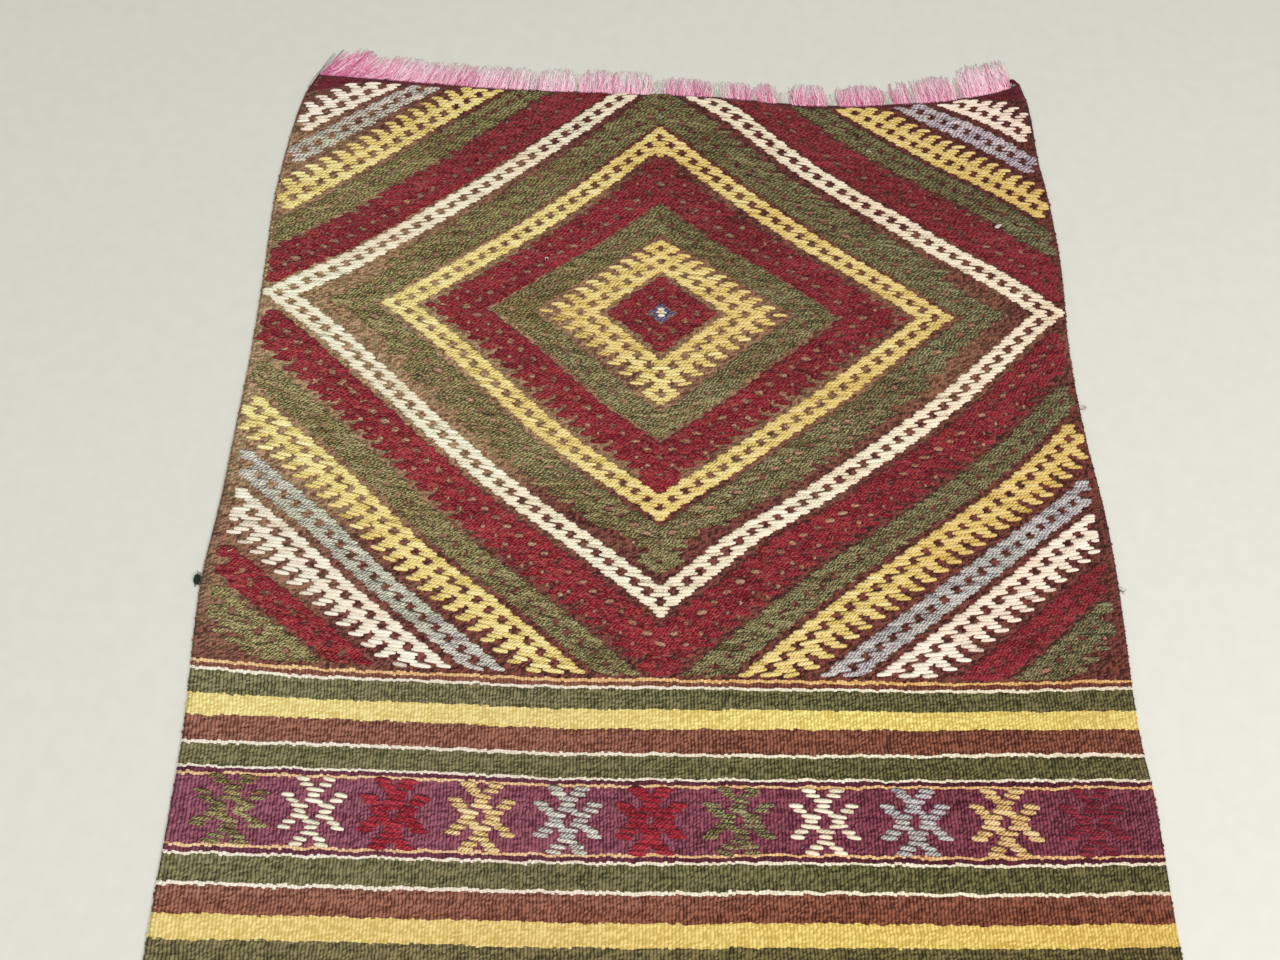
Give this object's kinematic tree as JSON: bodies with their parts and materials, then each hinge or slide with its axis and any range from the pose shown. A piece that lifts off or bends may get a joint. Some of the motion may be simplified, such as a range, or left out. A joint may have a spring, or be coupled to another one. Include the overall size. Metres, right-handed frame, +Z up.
{
  "type": "flat-woven kilim rug with fringed ends",
  "caption": "Small flat-woven wool kilim rug lying flat, with drawn-in corners, a warp fringe along each end and knotted yarn ends at its edge.",
  "frame": {"origin": "on the floor under the middle of the rug, fringes counted", "axes": "+Y runs along the rug to the far end, whose corners draw in more; +X runs across it to the right; +Z is up, out of the floor"},
  "size_m": [0.8226, 1.6576, 0.0048],
  "materials": {
    "flatweave_wool": "weft-faced wool, ribbed, matte",
    "fringe_yarn": "loose spun warp yarn, pink, matte",
    "green_yarn": "knotted wool yarn, dark green, matte",
    "dark_red_yarn": "knotted wool yarn, dark red, matte"
  },
  "bodies": {
    "root": {"rug_cloth": "flatweave_wool", "fringe_far": "fringe_yarn", "fringe_near": "fringe_yarn", "selvedge_knot": "green_yarn", "corner_knot": "dark_red_yarn"}
  },
  "joints": []
}
